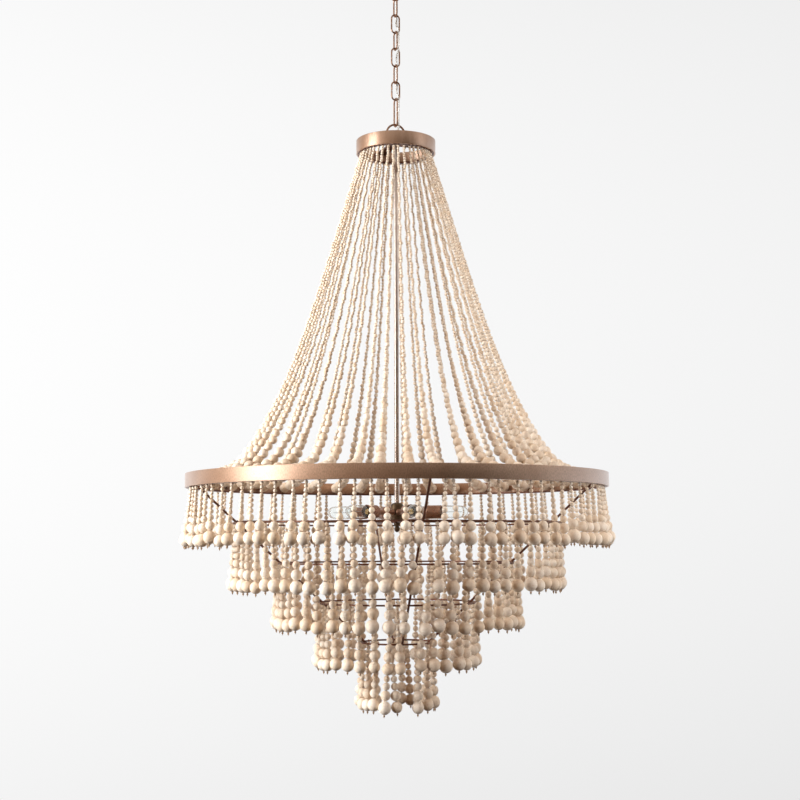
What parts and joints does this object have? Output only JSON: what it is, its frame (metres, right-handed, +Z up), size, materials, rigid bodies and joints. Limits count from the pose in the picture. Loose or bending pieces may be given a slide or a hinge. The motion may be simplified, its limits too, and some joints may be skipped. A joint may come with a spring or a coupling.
{
  "type": "beaded chandelier",
  "caption": "Round hanging light of tiered wooden bead fringes on a metal ring frame, with draped bead strings, a cluster of clear lamps, a chain and a ceiling canopy.",
  "frame": {"origin": "on the ceiling plane, on the vertical axis of the frame and canopy", "axes": "+Z up, -Y towards the picture's viewer, +X to the viewer's right; the light hangs in -Z"},
  "size_m": [0.8332, 0.8332, 1.4725],
  "materials": {
    "bronze": "satin copper bronze plating with brushed streaks",
    "dark_bronze": "dark oiled bronze, satin",
    "chain_brass": "aged brass, satin",
    "bead_wood": "natural unfinished turned wood, fine grain",
    "clear_glass": "clear, polished",
    "phenolic": "moulded, matt",
    "clear_vinyl": "clear to white lead cover, glossy",
    "zinc_steel": "zinc plated"
  },
  "bodies": {
    "canopy": {"ceiling_canopy": "bronze", "canopy_strap": "zinc_steel", "canopy_nipple": "zinc_steel", "nipple_nut": "zinc_steel", "canopy_loop": "bronze", "loop_collar": "bronze", "power_lead": "clear_vinyl"},
    "top_link": {"chain_link_1": "chain_brass"},
    "chain": {"chain_link_2": "chain_brass", "chain_link_3": "chain_brass", "chain_link_4": "chain_brass", "chain_link_5": "chain_brass", "chain_link_6": "chain_brass"},
    "long_link": {"chain_long_link": "chain_brass"},
    "frame": {"hanger_bow": "chain_brass", "hanger_nut_left": "zinc_steel", "hanger_nut_right": "zinc_steel", "top_plate": "dark_bronze", "top_ring": "bronze", "centre_stem": "bronze", "stem_nut_upper": "zinc_steel", "stem_nut_lower": "zinc_steel", "draped_strings_front": "bead_wood", "draped_strings_right": "bead_wood", "draped_strings_back": "bead_wood", "draped_strings_left": "bead_wood", "main_ring": "bronze", "tier_1_fringe": "bead_wood", "tier_2_fringe": "bead_wood", "tier_3_fringe": "bead_wood", "tier_4_fringe": "bead_wood", "tier_5_fringe": "bead_wood", "frame_rod_front": "dark_bronze", "frame_rod_right": "dark_bronze", "frame_rod_back": "dark_bronze", "frame_rod_left": "dark_bronze", "arm_spider": "dark_bronze", "lamp_hub": "dark_bronze", "hub_finial": "dark_bronze", "lamp_arm_1": "bronze", "lamp_arm_2": "bronze", "lamp_arm_3": "bronze", "lamp_arm_4": "bronze", "lamp_arm_5": "bronze", "lamp_arm_6": "bronze", "lamp_holder_1": "phenolic", "lamp_holder_2": "phenolic", "lamp_holder_3": "phenolic", "lamp_holder_4": "phenolic", "lamp_holder_5": "phenolic", "lamp_holder_6": "phenolic"},
    "bulb_1": {"bulb_1": "clear_glass"},
    "bulb_2": {"bulb_2": "clear_glass"},
    "bulb_3": {"bulb_3": "clear_glass"},
    "bulb_4": {"bulb_4": "clear_glass"},
    "bulb_5": {"bulb_5": "clear_glass"},
    "bulb_6": {"bulb_6": "clear_glass"}
  },
  "joints": [
    {"name": "top_link_swing", "type": "hinge", "parent": "canopy", "child": "top_link", "pos_m": [0, 0, -0.066], "axis": [1, 0, 0], "range_deg": [-12, 12], "deforming": ["power_lead"]},
    {"name": "chain_swing", "type": "hinge", "parent": "top_link", "child": "chain", "pos_m": [0, 0, -0.10005], "axis": [-0.3746, 0.9272, 0], "range_deg": [-12, 12], "deforming": ["power_lead"]},
    {"name": "long_link_swing", "type": "hinge", "parent": "chain", "child": "long_link", "pos_m": [0, 0, -0.27255], "axis": [0.9272, 0.3746, 0], "range_deg": [-12, 12], "deforming": ["power_lead"]},
    {"name": "frame_swing", "type": "hinge", "parent": "long_link", "child": "frame", "pos_m": [0, 0, -0.32655], "axis": [-0.3746, 0.9272, 0], "range_deg": [-12, 12], "deforming": ["power_lead"]},
    {"name": "bulb_1_turn", "type": "hinge", "parent": "frame", "child": "bulb_1", "pos_m": [0.02781, -0.0856, -1.0915], "axis": [0.309, -0.9511, 0], "range_deg": [0, 900]},
    {"name": "bulb_2_turn", "type": "hinge", "parent": "frame", "child": "bulb_2", "pos_m": [0.08803, -0.01871, -1.0915], "axis": [0.9781, -0.2079, 0], "range_deg": [0, 900]},
    {"name": "bulb_3_turn", "type": "hinge", "parent": "frame", "child": "bulb_3", "pos_m": [0.06022, 0.06688, -1.0915], "axis": [0.6691, 0.7431, 0], "range_deg": [0, 900]},
    {"name": "bulb_4_turn", "type": "hinge", "parent": "frame", "child": "bulb_4", "pos_m": [-0.02781, 0.0856, -1.0915], "axis": [-0.309, 0.9511, 0], "range_deg": [0, 900]},
    {"name": "bulb_5_turn", "type": "hinge", "parent": "frame", "child": "bulb_5", "pos_m": [-0.08803, 0.01871, -1.0915], "axis": [-0.9781, 0.2079, 0], "range_deg": [0, 900]},
    {"name": "bulb_6_turn", "type": "hinge", "parent": "frame", "child": "bulb_6", "pos_m": [-0.06022, -0.06688, -1.0915], "axis": [-0.6691, -0.7431, 0], "range_deg": [0, 900]}
  ]
}
